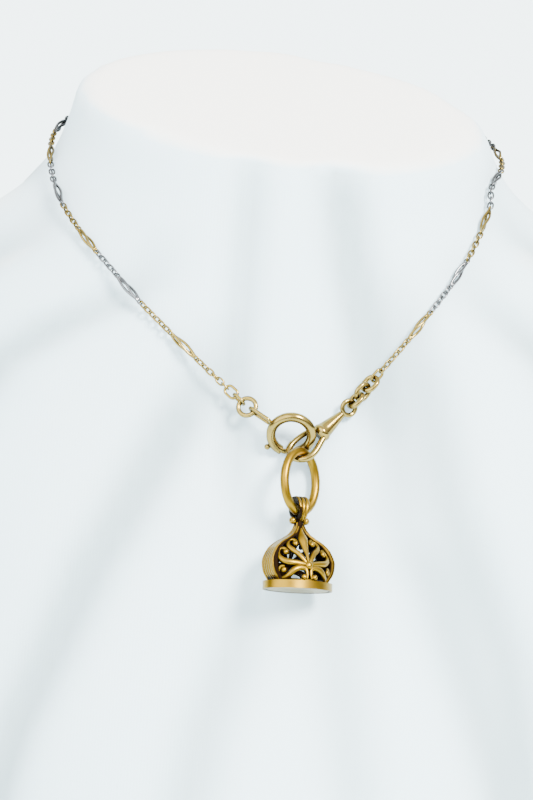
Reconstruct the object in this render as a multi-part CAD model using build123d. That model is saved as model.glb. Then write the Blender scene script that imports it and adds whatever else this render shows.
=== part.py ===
from build123d import *
import math
import os

# Neck bust
BUST_HEIGHT = 222.0
SHOULDER_WIDTH = 224.0
NECK_WIDTH = 115.0
NECK_DEPTH = 104.0
CHEST_REACH = 146.0
BACK_REACH = 54.0
TOP_SIDE_SLANT = 4.0
TOP_FRONT_SLANT = 2.0
TOP_EDGE_RADIUS = 3.0
BASE_EDGE_RADIUS = 3.0

# Bust sections from the base up: height as a share of the bust height, how far the half-width has
# grown from neck to shoulder, how far the front has come from neck to chest, and the back likewise
BUST_SECTIONS = [
    (0.000, 0.72, 0.980, 0.90),
    (0.120, 0.78, 1.000, 0.95),
    (0.270, 0.88, 0.957, 1.00),
    (0.420, 0.97, 0.779, 1.00),
    (0.560, 1.00, 0.588, 1.00),
    (0.680, 0.92, 0.4245, 1.00),
    (0.765, 0.78, 0.309, 0.90),
    (0.830, 0.56, 0.220, 0.70),
    (0.885, 0.29, 0.145, 0.30),
    (0.940, 0.10, 0.070, 0.00),
    (1.030, 0.00, -0.053, -0.50),
]

# Small chain links and the twisted cage links between them
WIRE_SIDES = 5
LINK_CORNERS = 10
SMALL_LENGTH = 3.11
SMALL_WIDTH = 2.00
SMALL_WIRE = 0.53
CAGE_LENGTH = 12.19
CAGE_WIDTH = 2.6
CAGE_WAIST = 1.35
CAGE_WIRE = 0.82
CAGE_TWIST = 120.0
CAGE_STEPS = 6
CAGE_EYE = 2.00
LINK_PLAY = 0.22
LINK_ROLL = 45.0
GOLD_RUN = 6
WHITE_RUN = 5
EASED_LINKS = 5
CHAIN_LIFT = 1.8

# Rings and links at the left end of the chain, in the chest plane: across, up the slope, out
END_RING_WIDTH = 5.8
END_RING_WIRE = 1.15
END_RING_MIDDLE = (-14.16, 6.47, 1.9)
END_RING_TILT = 18.0
END_LINK_LENGTH = 4.35
END_LINK_WIDTH = 3.1
END_LINK_WIRE = 0.64
END_LINK_ROLLS = (75.0, 0.0)
END_LINK_PLAY = 0.28

# Links at the right end, from the swivel eye to the chain
BIG_LINK_LENGTH = 5.6
BIG_LINK_WIDTH = 4.6
BIG_LINK_WIRE = 1.2
BIG_LINK_ROLLS = (62.0, -30.0, 45.0)
BIG_LINK_PLAY = 0.22
BIG_LINK_RAISE = 0.3
MEDIUM_LENGTH = 4.4
MEDIUM_WIDTH = 2.9
MEDIUM_WIRE = 0.64
MEDIUM_ROLL = -32.0

# Where the clasps meet on the chest: to the side of the middle and below the top of the bust
CLASP_SIDE = 10.5
CLASP_DROP = 64.1

# Bolt ring: its middle in the chest plane, and how its axis leans across and down the slope
RING_WIDTH = 13.0
RING_TUBE = 2.4
RING_BORE = 1.6
RING_MIDDLE = (-2.63, -0.65, 4.34)
RING_LEAN = (-0.060, -0.720)
RING_GAP_START = 243.0
RING_GAP_END = 287.0
BOLT_WIDTH = 1.25
BOLT_GRIP = 3.0
BOLT_TRAVEL = 38.0
KNOB_ANGLE = 214.0
KNOB_WIDTH = 1.45
KNOB_STEM = 0.56
SLOT_CLEARANCE = 0.14
SHACKLE_ANGLE = 150.0
SHACKLE_WIDTH = 3.8
SHACKLE_WIRE = 0.8
SHACKLE_ROLL = 42.0
SHACKLE_PLAY = 0.25

# Swivel clip: the middle of its collar, the way that it points, and its roll about that way
CLIP_MIDDLE = (5.41, 0.31, 3.30)
CLIP_WAY = (-0.72, -0.694, 0.171)
CLIP_ROLL = -26.5
CONE_LENGTH = 6.6
CONE_TIP_WIDTH = 1.9
CONE_MOUTH_WIDTH = 4.3
COLLAR_WIDTH = 4.9
COLLAR_LENGTH = 1.5
COLLAR_NOSE = 0.6
HOOK_WIRE = 1.6
GATE_WIRE = 1.3
GATE_CLEARANCE = 0.22
GATE_OPENING = 20.0
GATE_PIVOT = (1.9, 2.6)
KNUCKLE_WIDTH = 1.42
KNUCKLE_HEIGHT = 1.2
HINGE_PIN = 0.5
HINGE_PIN_CLEARANCE = 0.1
HINGE_EAR = 0.32
HINGE_EAR_RADIUS = 0.58
HINGE_SIDE_CLEARANCE = 0.1
THUMB_WIDTH = 1.0
EYE_WIDTH = 5.0
EYE_WIRE = 1.15
EYE_ROLL = 24.0
EYE_STANDOFF = 0.12
PIN_WIDTH = 0.9
PIN_CLEARANCE = 0.12
PIN_DEPTH = 1.6

# Middle line of the hook from the collar round to its tip: ahead of the collar and to its gate side
HOOK_LINE = [
    (0.20, -1.35),
    (3.90, -2.50),
    (6.40, -2.95),
    (8.35, -2.50),
    (9.70, -1.15),
    (10.30, 0.60),
    (9.75, 2.30),
    (8.60, 3.10),
    (7.40, 3.35),
]

# Oval ring: its middle, its turn about its long way and its lean out from the chest
OVAL_LENGTH = 18.0
OVAL_WIDTH = 14.6
OVAL_WIRE = 2.3
OVAL_MIDDLE = (-0.10, -12.82, 6.09)
OVAL_TURN = 45.1
OVAL_LEAN = 4.4

# Seal
RIM_WIDTH = 19.2
RIM_DEPTH = 14.0
RIM_HEIGHT = 2.1
FACE_BORDER = 1.1
FACE_THICKNESS = 0.9
FACE_CLEARANCE = 0.06
FACE_RECESS = 0.1
DOME_WIDTH = 17.7
DOME_HEIGHT = 17.4
DOME_DEPTH = 12.4
BAND_DEPTH = 6.2
BAND_WALL = 1.15
PANEL_WALL = 1.15
BAIL_HEIGHT = 24.3
BAIL_WIDTH = 3.5
BAIL_FOOT_WIDTH = 1.5
BAIL_DEPTH = 5.9
BAIL_CROWN = 1.7
BAIL_SIDE = 0.8
BAIL_HOLE = 3.8
FLUTE_DEPTH = 0.3
FLUTE_SHARES = (0.12, 0.24)
NECK_WIDTH_OF_SEAL = 2.4
NECK_BALL = 1.8
NECK_BALL_SPREAD = 3.8
NECK_BALL_RISE = 0.6
NECK_OVERLAP = 1.0
SEAL_FOOT = (-0.28, -40.95, 8.54)
SEAL_TURN = 26.0
SEAL_LEAN = 5.2

# Seal outline: height as a share of the dome height, then half-width of the outline, half-depth of
# the dome and half-depth of the side band, as shares of half the widths and depths above
SEAL_SECTIONS = [
    (0.120, 0.780, 1.000, 1.000),
    (0.247, 0.938, 0.960, 1.000),
    (0.368, 1.000, 0.870, 0.980),
    (0.460, 0.989, 0.770, 0.930),
    (0.603, 0.853, 0.565, 0.830),
    (0.695, 0.650, 0.420, 0.740),
    (0.782, 0.373, 0.290, 0.600),
    (0.839, 0.237, 0.210, 0.490),
    (0.920, 0.147, 0.160, 0.350),
    (1.000, 0.107, 0.137, 0.240),
]
DOME_INSET = 0.35
BORDER_WIDTH = 1.6
BORDER_FOOT = 0.5

# Palmette, right half, across and up as shares of half the dome's width and of its height: each
# stroke has its middle line and its width at the start, the middle and the end
STROKE_WIDTH = 1.35
CURL_WIDTH = 0.8
CURL_BALL = 1.7
BOSS_WIDTH = 2.1
BOSS_DROP = 0.05
LEAF_WIDTH = 2.6
LEAF = [(0.0, 0.40), (0.5, 0.62), (1.0, 0.735), (0.0, 0.93)]
STROKES = [
    [(0.06, 0.38), (0.141, 0.448), (0.260, 0.529), (0.407, 0.586), (0.492, 0.649), (0.441, 0.716),
     (0.316, 0.745), (0.232, 0.715)],
    [(0.06, 0.36), (0.350, 0.382), (0.559, 0.388), (0.723, 0.420), (0.802, 0.483), (0.780, 0.552),
     (0.700, 0.598), (0.610, 0.585)],
    [(0.110, 0.170), (0.062, 0.215), (0.090, 0.290), (0.220, 0.312), (0.412, 0.284), (0.542, 0.216),
     (0.650, 0.158), (0.746, 0.155), (0.802, 0.207), (0.819, 0.273), (0.765, 0.318)],
]
CURL_BALLS = [(0.271, 0.675), (0.605, 0.537), (0.700, 0.268), (0.155, 0.168)]

# Route of the chain from the bolt ring round the back of the neck to the clip: degrees round the
# neck from the front, towards the left, and the drop below the top of the bust
ROUTE_AXIS_Y = -8.0
ROUTE_STEPS = 8
CHAIN_ROUTE = [
    (10.4, 51.9),
    (17.4, 46.3),
    (21.6, 43.0),
    (29.0, 37.9),
    (37.7, 32.3),
    (49.1, 26.8),
    (63.1, 21.6),
    (74.8, 17.6),
    (85.3, 14.8),
    (101.0, 13.6),
    (118.0, 12.9),
    (136.0, 12.4),
    (154.0, 12.1),
    (172.0, 12.0),
    (190.0, 12.0),
    (208.0, 12.2),
    (226.0, 12.4),
    (244.0, 12.7),
    (261.0, 13.2),
    (275.0, 13.6),
    (286.3, 14.7),
    (292.0, 18.5),
    (300.3, 22.5),
    (308.5, 27.2),
    (316.3, 32.3),
    (325.4, 39.5),
    (331.4, 45.2),
]


def between(start, end, share):
    return start + (end - start) * share


def mix(plane, way):
    """A direction given by its parts along a plane's own three axes."""
    return (plane.x_dir * way[0] + plane.y_dir * way[1] + plane.z_dir * way[2]).normalized()


def square_to(way, along):
    """The part of a direction that is square to another, at unit length."""
    return (way - along * way.dot(along)).normalized()


def put(piece, plane):
    return piece.moved(Location(plane))


def overlap(first, second):
    shared = first.intersect(second)
    return shared.solids() if shared else []


def joined(pieces):
    whole = pieces[0]
    for piece in pieces[1:]:
        whole = whole.fuse(piece).solid()
    return whole


# Bust

def bust_section(row):
    height_share, width_share, front_share, back_share = row
    half_width = between(NECK_WIDTH / 2, SHOULDER_WIDTH / 2, width_share)
    front = between(NECK_DEPTH / 2, CHEST_REACH, front_share)
    back = between(NECK_DEPTH / 2, BACK_REACH, back_share)
    middle = (back - front) / 2
    plane = Plane(origin=(0, middle, height_share * BUST_HEIGHT), x_dir=(1, 0, 0), z_dir=(0, 0, 1))
    return Wire([Edge.make_ellipse(half_width, (front + back) / 2, plane)])


def neck_bust():
    form = Solid.make_loft([bust_section(row) for row in BUST_SECTIONS])
    side_slope = math.tan(math.radians(TOP_SIDE_SLANT))
    front_slope = math.tan(math.radians(TOP_FRONT_SLANT))
    top = Plane(origin=(0, 0, BUST_HEIGHT), z_dir=(side_slope, -front_slope, 1))
    form = split(form, top, keep=Keep.BOTTOM).solid()
    rims = form.edges().sort_by(Axis.Z)
    form = fillet(rims[-1], TOP_EDGE_RADIUS).solid()
    rims = form.edges().sort_by(Axis.Z)
    return fillet(rims[0], BASE_EDGE_RADIUS).solid()


def chest_plane(bust):
    """The plane that the clasps lie on: X across, Y up the slope, Z out of the chest."""
    sight = Axis((CLASP_SIDE, -2 * CHEST_REACH, BUST_HEIGHT - CLASP_DROP), (0, 1, 0))
    point, normal = min(bust.find_intersection_points(sight), key=lambda hit: hit[0].Y)
    if normal.Y > 0:
        normal = normal * -1
    across = Vector(0, 0, 1).cross(normal)
    return Plane(origin=point, x_dir=across, z_dir=normal)


# Links of flat faces: a wire of few sides, mitred at each corner of its middle line

def wire_polygon(middle, along, side, radius):
    up = along.cross(side).normalized()
    across = up.cross(along).normalized()
    corners = []
    for index in range(WIRE_SIDES):
        angle = 2 * math.pi * index / WIRE_SIDES
        corners.append(middle + across * (radius * math.cos(angle)) + up * (radius * math.sin(angle)))
    return corners


def slid_to_plane(corners, along, point, normal):
    return [corner + along * ((point - corner).dot(normal) / along.dot(normal)) for corner in corners]


def mitred_wire(line, width, closed):
    count = len(line)
    spans = count if closed else count - 1
    runs = [(line[(index + 1) % count] - line[index]).normalized() for index in range(spans)]
    section = wire_polygon((line[0] + line[1]) * 0.5, runs[0], Vector(0, 0, 1), width / 2)
    rings = []
    for index in range(count):
        before = runs[index - 1] if closed or index > 0 else runs[0]
        after = runs[index] if index < spans else runs[-1]
        along = runs[0] if index == 0 else before
        section = slid_to_plane(section, along, line[index], (before + after).normalized())
        rings.append(section)
    faces = []
    if closed:
        rings.append(rings[0])
    else:
        faces.append(Face(Wire.make_polygon(rings[0])))
        faces.append(Face(Wire.make_polygon(rings[-1])))
    for start, end in zip(rings[:-1], rings[1:]):
        for index in range(WIRE_SIDES):
            follow = (index + 1) % WIRE_SIDES
            faces.append(Face(Wire.make_polygon([start[index], start[follow], end[follow], end[index]])))
    return Solid(Shell(faces))


def small_link():
    """A straight-sided oval in the XY plane, long way on X."""
    bend = (SMALL_WIDTH - SMALL_WIRE) / 2
    straight = (SMALL_LENGTH - SMALL_WIDTH) / 2
    per_end = LINK_CORNERS // 2
    line = []
    for end in (1, -1):
        for index in range(per_end):
            angle = math.pi * (index / (per_end - 1) - 0.5)
            line.append(Vector(end * (straight + bend * math.cos(angle)), end * bend * math.sin(angle), 0))
    return mitred_wire(line, SMALL_WIRE, True)


def cage_strand(start_angle):
    reach = CAGE_LENGTH / 2 - CAGE_EYE + SMALL_WIRE / 2
    widest = (CAGE_WIDTH - CAGE_WIRE) / 2
    narrowest = (CAGE_WAIST - CAGE_WIRE) / 2
    line = []
    for step in range(CAGE_STEPS + 1):
        share = step / CAGE_STEPS
        radius = between(narrowest, widest, math.sin(math.pi * share))
        angle = math.radians(start_angle + CAGE_TWIST * (share - 0.5))
        across = radius * math.cos(angle)
        line.append(Vector(between(-reach, reach, share), across, radius * math.sin(angle)))
    return mitred_wire(line, CAGE_WIRE, False)


def cage_link():
    """Three strands twisted into an open cage, with an eye at each end, long way on X."""
    pieces = [cage_strand(angle) for angle in (0, 120, 240)]
    bend = (CAGE_EYE - SMALL_WIRE) / 2
    for end in (1, -1):
        middle = end * (CAGE_LENGTH - CAGE_EYE) / 2
        line = []
        for index in range(LINK_CORNERS):
            angle = 2 * math.pi * (index + 0.5) / LINK_CORNERS
            line.append(Vector(middle + bend * math.cos(angle), bend * math.sin(angle), 0))
        pieces.append(mitred_wire(line, SMALL_WIRE, True))
    return joined(pieces)


# Links and rings of round wire

def round_ring(width, wire):
    return Solid.make_torus((width - wire) / 2, wire / 2)


def oval_link(length, width, wire):
    """A straight-sided oval of round wire in the XY plane, long way on X."""
    bend = (width - wire) / 2
    straight = (length - width) / 2
    line = Wire([
        Edge.make_line((-straight, -bend, 0), (straight, -bend, 0)),
        Edge.make_three_point_arc((straight, -bend, 0), (straight + bend, 0, 0), (straight, bend, 0)),
        Edge.make_line((straight, bend, 0), (-straight, bend, 0)),
        Edge.make_three_point_arc((-straight, bend, 0), (-straight - bend, 0, 0), (-straight, -bend, 0)),
    ])
    start = Plane(origin=(-straight, -bend, 0), x_dir=(0, 1, 0), z_dir=(1, 0, 0))
    return Solid.sweep(Face(Wire([Edge.make_circle(wire / 2, start)])), line)


def reach_of(length, wire, play):
    """From a link's middle to the point between it and the next link pulled against it."""
    return length / 2 - wire - play / 2


def link_plane(middle, along, normal, roll):
    """Long way on X along the given way, its face turned by roll degrees from the normal."""
    side = normal.cross(along).normalized()
    out = along.cross(side).normalized()
    turn = math.radians(roll)
    return Plane(origin=middle, x_dir=along, z_dir=out * math.cos(turn) + side * math.sin(turn))


# Bolt ring, in its own frame: the ring in the XY plane, its opening to -Y

def ring_radius():
    return (RING_WIDTH - RING_TUBE) / 2


def ring_plane(chest):
    middle = chest.from_local_coords(Vector(*RING_MIDDLE))
    axis = mix(chest, (RING_LEAN[0], RING_LEAN[1], 1))
    return Plane(origin=middle, x_dir=square_to(chest.x_dir, axis), z_dir=axis)


def ring_point(degrees, radius):
    angle = math.radians(degrees)
    return Vector(radius * math.cos(angle), radius * math.sin(angle), 0)


def ring_arc(width, start, end):
    """Part of a ring of round section, from start to end degrees."""
    arc = Solid.make_torus(ring_radius(), width / 2, major_angle=end - start)
    return arc.rotate(Axis.Z, start)


def degrees_of(length):
    return math.degrees(length / ring_radius())


def knob_slot():
    half = KNOB_STEM / 2 + SLOT_CLEARANCE
    corners = [
        (ring_radius(), 0, -half),
        (ring_radius() + RING_TUBE, 0, -half),
        (ring_radius() + RING_TUBE, 0, half),
        (ring_radius(), 0, half),
    ]
    margin = degrees_of(half)
    sweep_angle = BOLT_TRAVEL + 2 * margin
    slot = Solid.revolve(Face(Wire.make_polygon(corners)), sweep_angle, Axis.Z)
    return slot.rotate(Axis.Z, KNOB_ANGLE - BOLT_TRAVEL - margin)


def bolt_tail():
    return KNOB_ANGLE - degrees_of(KNOB_STEM)


def shackle_plane(target):
    """Aimed from the tube at the middle of the end ring, so that its loop takes that ring's wire."""
    start = ring_point(SHACKLE_ANGLE, ring_radius())
    away = (target - start).normalized()
    near = start + away * (RING_TUBE / 4)
    far = target - away * reach_of(END_RING_WIDTH, END_RING_WIRE, 2 * (SHACKLE_WIRE + SHACKLE_PLAY))
    plane = link_plane((near + far) * 0.5, away, Vector(0, 0, 1), SHACKLE_ROLL)
    return plane, (far - near).length


def bolt_ring(target):
    tube = ring_arc(RING_TUBE, RING_GAP_END, RING_GAP_START + 360)
    hollow_start = bolt_tail() - BOLT_TRAVEL - degrees_of(SLOT_CLEARANCE)
    tube = tube.cut(ring_arc(RING_BORE, hollow_start, RING_GAP_START + 1)).solid()
    socket_end = RING_GAP_END + BOLT_GRIP + degrees_of(SLOT_CLEARANCE)
    tube = tube.cut(ring_arc(RING_BORE, RING_GAP_END - 1, socket_end)).solid()
    tube = tube.cut(knob_slot()).solid()
    plane, length = shackle_plane(target)
    return tube.fuse(put(oval_link(length, SHACKLE_WIDTH, SHACKLE_WIRE), plane)).solid()


def bolt_trigger():
    bolt = ring_arc(BOLT_WIDTH, bolt_tail(), RING_GAP_END + BOLT_GRIP)
    foot = ring_point(KNOB_ANGLE, ring_radius())
    out = ring_point(KNOB_ANGLE, 1)
    reach = RING_TUBE / 2 + KNOB_WIDTH / 2
    stem = Solid.make_cylinder(KNOB_STEM / 2, reach, Plane(origin=foot, z_dir=out))
    knob = Solid.make_sphere(KNOB_WIDTH / 2, Plane(origin=foot + out * reach))
    return joined([bolt, stem, knob])


# Swivel clip, in its own frame: X ahead from the collar's middle, Y to the gate side

def clip_plane(chest):
    middle = chest.from_local_coords(Vector(*CLIP_MIDDLE))
    ahead = mix(chest, CLIP_WAY)
    side = square_to(mix(chest, (CLIP_WAY[1], -CLIP_WAY[0], 0)), ahead)
    face = side.cross(ahead)
    turn = math.radians(CLIP_ROLL)
    gate_side = side * math.cos(turn) + face * math.sin(turn)
    return Plane(origin=middle, x_dir=ahead, z_dir=ahead.cross(gate_side))


def cone_start():
    return -CONE_LENGTH - COLLAR_LENGTH / 2


def clip_barrel():
    """Cone, rounded collar and short nose turned about X, bored for the eye's pin."""
    back = -COLLAR_LENGTH / 2
    front = COLLAR_LENGTH / 2
    outline = Wire([
        Edge.make_line((cone_start(), 0, 0), (cone_start(), CONE_TIP_WIDTH / 2, 0)),
        Edge.make_line((cone_start(), CONE_TIP_WIDTH / 2, 0), (back, CONE_MOUTH_WIDTH / 2, 0)),
        Edge.make_three_point_arc(
            (back, CONE_MOUTH_WIDTH / 2, 0), (0, COLLAR_WIDTH / 2, 0), (front, CONE_MOUTH_WIDTH / 2, 0)),
        Edge.make_line(
            (front, CONE_MOUTH_WIDTH / 2, 0), (front + COLLAR_NOSE, CONE_MOUTH_WIDTH / 2 - COLLAR_NOSE, 0)),
        Edge.make_line(
            (front + COLLAR_NOSE, CONE_MOUTH_WIDTH / 2 - COLLAR_NOSE, 0), (front + COLLAR_NOSE, 0, 0)),
        Edge.make_line((front + COLLAR_NOSE, 0, 0), (cone_start(), 0, 0)),
    ])
    barrel = Solid.revolve(Face(outline), 360, Axis.X)
    hole = Solid.make_cylinder(
        PIN_WIDTH / 2 + PIN_CLEARANCE, PIN_DEPTH + PIN_CLEARANCE,
        Plane(origin=(cone_start(), 0, 0), z_dir=(1, 0, 0)))
    return barrel.cut(hole).solid()


def gate_reach():
    """From the hinge to the gate's end, which closes just short of the hook's rounded tip."""
    tip = HOOK_LINE[-1]
    return math.dist(tip, GATE_PIVOT) - GATE_CLEARANCE / 2


def disc_about_pivot(radius, half_height):
    plane = Plane(origin=(GATE_PIVOT[0], GATE_PIVOT[1], -half_height))
    return Solid.make_cylinder(radius, 2 * half_height, plane)


def clip_hook():
    """The bent wire of the hook, its tip hollowed to the gate's swing."""
    line = Edge.make_spline([Vector(ahead, side, 0) for ahead, side in HOOK_LINE])
    section = Plane(origin=line @ 0, z_dir=line % 0)
    wire = Solid.sweep(Face(Wire([Edge.make_circle(HOOK_WIRE / 2, section)])), line)
    swing = disc_about_pivot(gate_reach() + GATE_CLEARANCE, HOOK_WIRE)
    corner = Plane(origin=(0, GATE_PIVOT[1] - HOOK_WIRE, -HOOK_WIRE))
    tip_room = Solid.make_box(HOOK_LINE[-1][0], 3 * HOOK_WIRE, 2 * HOOK_WIRE, corner)
    return wire.cut(swing.intersect(tip_room).solid()).solid()


def hinge_ears():
    """Two ears from the collar's nose to either side of the gate, with a pin between them."""
    inner = GATE_WIRE / 2 + HINGE_SIDE_CLEARANCE
    foot = Vector(COLLAR_LENGTH / 2, CONE_MOUTH_WIDTH / 2 - HINGE_EAR_RADIUS - COLLAR_NOSE / 2, 0)
    pivot = Vector(GATE_PIVOT[0], GATE_PIVOT[1], 0)
    along = (pivot - foot).normalized()
    middle = (pivot + foot) * 0.5
    pieces = []
    for level in (inner, -inner - HINGE_EAR):
        plane = Plane(origin=middle + Vector(0, 0, level), x_dir=along, z_dir=(0, 0, 1))
        shape = plane * SlotCenterToCenter((pivot - foot).length, 2 * HINGE_EAR_RADIUS)
        pieces.append(extrude(shape, HINGE_EAR, dir=(0, 0, 1)).solid())
    half = inner + HINGE_EAR / 2
    pieces.append(disc_about_pivot(HINGE_PIN / 2, half))
    return pieces


def swivel_hook():
    return joined([clip_barrel(), clip_hook()] + hinge_ears())


def swivel_gate():
    """The clip's lever, closed: a bar from the hinge to the hook's tip, with a thumb nub."""
    pivot = Vector(GATE_PIVOT[0], GATE_PIVOT[1], 0)
    tip = Vector(HOOK_LINE[-1][0], HOOK_LINE[-1][1], 0)
    bend = (pivot + tip) * 0.5 + Vector(0, GATE_WIRE / 4, 0)
    line = Edge.make_three_point_arc(pivot, bend, tip)
    section = Plane(origin=line @ 0, z_dir=line % 0)
    bar = Solid.sweep(Face(Wire([Edge.make_circle(GATE_WIRE / 2, section)])), line)
    bar = bar.intersect(disc_about_pivot(gate_reach(), GATE_WIRE)).solid()
    knuckle = disc_about_pivot(KNUCKLE_WIDTH / 2, KNUCKLE_HEIGHT / 2)
    thumb = pivot + Vector(-THUMB_WIDTH / 4, GATE_WIRE / 2, 0)
    nub = Solid.make_sphere(THUMB_WIDTH / 2, Plane(origin=thumb))
    gate = joined([bar, knuckle, nub])
    return gate.cut(disc_about_pivot(HINGE_PIN / 2 + HINGE_PIN_CLEARANCE, GATE_WIRE)).solid()


def eye_middle():
    return Vector(cone_start() - EYE_STANDOFF - EYE_WIDTH / 2, 0, 0)


def eye_plane(chest, clip):
    """Its face to the front, X towards the clip."""
    return link_plane(clip.from_local_coords(eye_middle()), clip.x_dir, chest.z_dir, EYE_ROLL)


def swivel_eye():
    """The swivel's ring with the pin that turns in the cone, X towards the cone."""
    ring = round_ring(EYE_WIDTH, EYE_WIRE)
    start = (EYE_WIDTH - EYE_WIRE) / 2
    length = EYE_WIDTH / 2 + EYE_STANDOFF + PIN_DEPTH - start
    pin = Solid.make_cylinder(PIN_WIDTH / 2, length, Plane(origin=(start, 0, 0), z_dir=(1, 0, 0)))
    return ring.fuse(pin).solid()


# Oval ring

def oval_plane(chest):
    """X down its long way, Y across it."""
    lean = math.radians(OVAL_LEAN)
    turn = math.radians(OVAL_TURN)
    down = mix(chest, (0, -math.cos(lean), math.sin(lean)))
    across = square_to(mix(chest, (math.cos(turn), 0, -math.sin(turn))), down)
    middle = chest.from_local_coords(Vector(*OVAL_MIDDLE))
    return Plane(origin=middle, x_dir=down, z_dir=down.cross(across))


def oval_ring():
    path = Edge.make_ellipse((OVAL_LENGTH - OVAL_WIRE) / 2, (OVAL_WIDTH - OVAL_WIRE) / 2)
    section = Plane(origin=path @ 0, z_dir=path % 0)
    return Solid.sweep(Face(Wire([Edge.make_circle(OVAL_WIRE / 2, section)])), path)


# Seal, in its own frame: Z up its axis from the middle of its face, its front to -Y

def rim_ellipse(inset, height):
    plane = Plane(origin=(0, 0, height))
    return Face(Wire([Edge.make_ellipse(RIM_WIDTH / 2 - inset, RIM_DEPTH / 2 - inset, plane)]))


def seal_rim():
    rim = Solid.extrude(rim_ellipse(0, 0), Vector(0, 0, RIM_HEIGHT))
    recess = Solid.extrude(
        rim_ellipse(FACE_BORDER, 0), Vector(0, 0, FACE_RECESS + FACE_THICKNESS + FACE_CLEARANCE))
    return rim.cut(recess).solid()


def seal_face():
    plate = rim_ellipse(FACE_BORDER + FACE_CLEARANCE, FACE_RECESS)
    return Solid.extrude(plate, Vector(0, 0, FACE_THICKNESS))


def outline_face(column, half_size, inset, across):
    """A face bounded by the seal's outline on both sides, across X or along Y."""
    rows = [(row[column] * half_size - inset, row[0] * DOME_HEIGHT) for row in SEAL_SECTIONS]
    rows = [row for row in rows if row[0] > 0.05]
    sides = []
    for sign in (1, -1):
        points = [Vector(sign * reach * across, sign * reach * (1 - across), level) for reach, level in rows]
        sides.append(Edge.make_spline(points))
    foot = Edge.make_line(sides[0] @ 0, sides[1] @ 0)
    head = Edge.make_line(sides[0] @ 1, sides[1] @ 1)
    return Face(Wire([sides[0], head, sides[1], foot]))


def side_band():
    """A band that follows the outline from rim to neck, as deep as the band at each level."""
    depth = Vector(0, 2 * RIM_DEPTH, 0)
    width = Vector(2 * RIM_WIDTH, 0, 0)
    outer = outline_face(1, DOME_WIDTH / 2, 0, 1).moved(Location(depth * -0.5))
    inner = outline_face(1, DOME_WIDTH / 2, BAND_WALL, 1).moved(Location(depth * -0.5))
    side = outline_face(3, BAND_DEPTH / 2, 0, 0).moved(Location(width * -0.5))
    form = Solid.extrude(outer, depth).intersect(Solid.extrude(side, width)).solid()
    return form.cut(Solid.extrude(inner, depth)).solid()


def dome_form(inset):
    sections = []
    for row in SEAL_SECTIONS:
        half_width = row[1] * DOME_WIDTH / 2 - DOME_INSET - inset
        half_depth = row[2] * DOME_DEPTH / 2 - inset
        if half_depth > 0.3:
            plane = Plane(origin=(0, 0, row[0] * DOME_HEIGHT))
            sections.append(Wire([Edge.make_ellipse(half_width, half_depth, plane)]))
    return Solid.make_loft(sections)


def pattern_point(across, up):
    return Vector(across * DOME_WIDTH / 2, -RIM_DEPTH, up * DOME_HEIGHT)


def ribbon(line, start_width, middle_width, end_width):
    """A face of the given widths along a middle line in the XZ plane."""
    count = len(line)
    left = []
    right = []
    for index, point in enumerate(line):
        share = index / (count - 1)
        if share < 0.5:
            width = between(start_width, middle_width, 2 * share)
        else:
            width = between(middle_width, end_width, 2 * share - 1)
        along = (line[min(index + 1, count - 1)] - line[max(index - 1, 0)]).normalized()
        across = Vector(along.Z, 0, -along.X) * (width / 2)
        left.append(point + across)
        right.append(point - across)
    left_side = Edge.make_spline(left)
    right_side = Edge.make_spline(right)
    start = Edge.make_line(left[0], right[0])
    end = Edge.make_line(left[-1], right[-1])
    return Face(Wire([left_side, end, right_side, start]))


def leaf_face(sign):
    half = LEAF_WIDTH / 2
    points = []
    for width_share, up in LEAF:
        points.append(Vector(sign * half * width_share, -RIM_DEPTH, up * DOME_HEIGHT))
    curve = Edge.make_spline(points)
    return Face(Wire([curve, Edge.make_line(points[-1], points[0])]))


def disc_face(across, up, width):
    spot = pattern_point(across, up)
    return Face(Wire([Edge.make_circle(width / 2, Plane(origin=spot, z_dir=(0, -1, 0)))]))


def palmette_faces():
    faces = [disc_face(0, LEAF[0][1] - BOSS_DROP, BOSS_WIDTH)]
    for sign in (1, -1):
        faces.append(leaf_face(sign))
        for number, stroke in enumerate(STROKES):
            line = [pattern_point(sign * across, up) for across, up in stroke]
            first = CURL_WIDTH if number == len(STROKES) - 1 else STROKE_WIDTH
            faces.append(ribbon(line, first, STROKE_WIDTH, CURL_WIDTH))
        for across, up in CURL_BALLS:
            faces.append(disc_face(sign * across, up, CURL_BALL))
    return faces


def pierced_dome():
    """The hollow dome, its front and back open between plain edges and the palmette's strokes."""
    through = Vector(0, 2 * RIM_DEPTH, 0)
    shell = dome_form(0).cut(dome_form(PANEL_WALL)).solid()
    opening = outline_face(1, DOME_WIDTH / 2, BORDER_WIDTH, 1).moved(Location((0, -RIM_DEPTH, BORDER_FOOT)))
    parts = [shell.cut(Solid.extrude(opening, through)).solid()]
    strokes = palmette_faces()
    for face in strokes[0].fuse(*strokes[1:]).faces():
        if face.area > CURL_WIDTH ** 2:
            parts += overlap(Solid.extrude(face, through), shell)
    return parts


def bail_form(inset):
    """An upright oval across Y and Z, extruded along X."""
    depth = BAIL_DEPTH / 2
    foot = DOME_HEIGHT
    plane = Plane(origin=(-BAIL_WIDTH, 0, (BAIL_HEIGHT + foot) / 2), x_dir=(0, 1, 0), z_dir=(1, 0, 0))
    face = Face(Wire([Edge.make_ellipse(depth - inset, (BAIL_HEIGHT - foot) / 2 - inset, plane)]))
    return Solid.extrude(face, Vector(2 * BAIL_WIDTH, 0, 0))


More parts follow.
